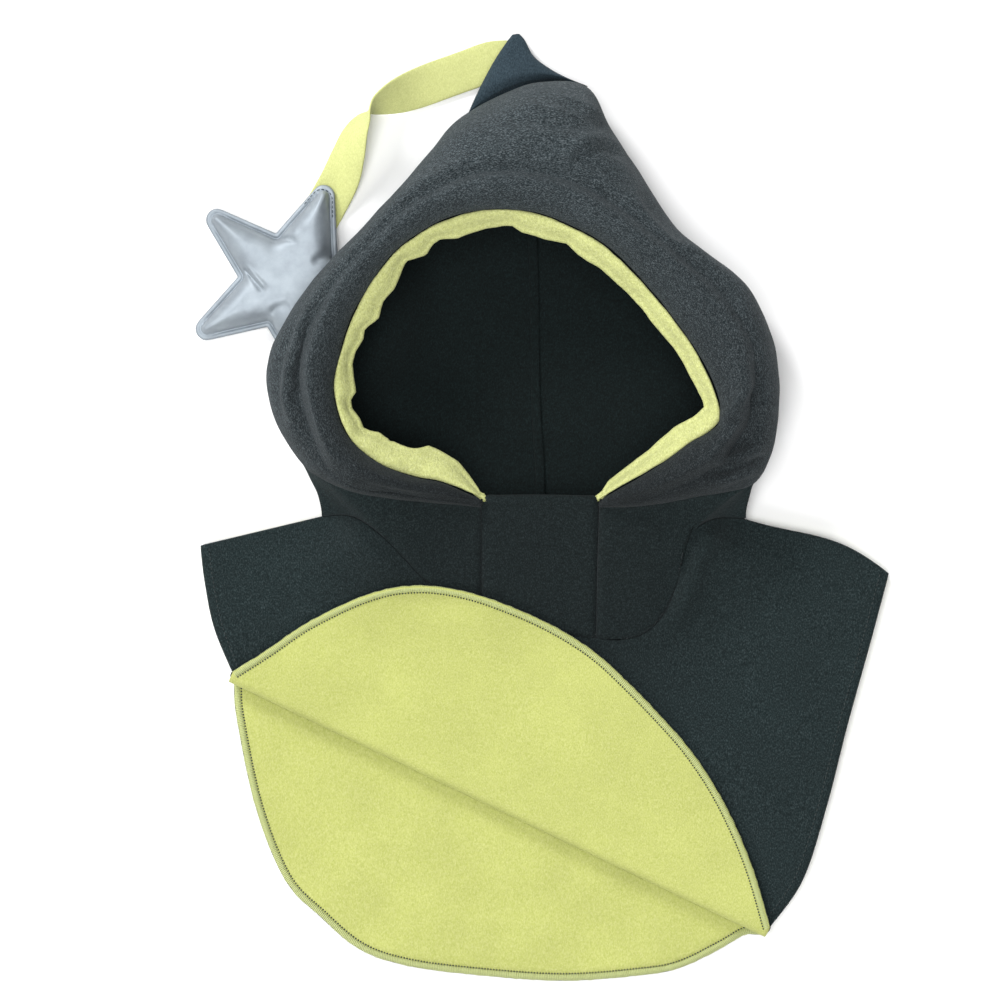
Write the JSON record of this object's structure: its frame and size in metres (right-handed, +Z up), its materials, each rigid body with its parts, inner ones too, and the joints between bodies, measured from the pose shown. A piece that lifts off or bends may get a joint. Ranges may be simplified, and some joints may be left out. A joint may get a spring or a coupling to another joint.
{
  "type": "fleece hood with shoulder cape",
  "caption": "Pull-over fleece hood with a long pointed tip, a ribbon tail ending in a padded star, and a lined shoulder cape, lying flat.",
  "frame": {"origin": "on the surface that the hood lies on, below the middle of the whole object's box", "axes": "+Y towards the hood's tip, +X to the right seen from above, +Z up, out of the face opening"},
  "size_m": [0.3793, 0.519, 0.0761],
  "materials": {
    "dark_fleece": "brushed fleece, dark melange grey",
    "lime_fleece": "brushed fleece, pale lime",
    "silver_cloth": "metallic coated cloth, satin"
  },
  "bodies": {
    "root": {"hood_ring": "dark_fleece", "hood_left": "dark_fleece", "hood_right": "dark_fleece", "hood_back": "dark_fleece", "neck_left": "dark_fleece", "neck_right": "dark_fleece", "hood_tip": "dark_fleece", "neck_insert": "dark_fleece", "face_trim": "lime_fleece", "cape_front_outer": "dark_fleece", "cape_front_lining": "lime_fleece", "cape_back_outer": "dark_fleece", "cape_back_lining": "lime_fleece", "tail_ribbon": "lime_fleece", "star_front": "silver_cloth", "star_back": "silver_cloth"}
  },
  "joints": []
}
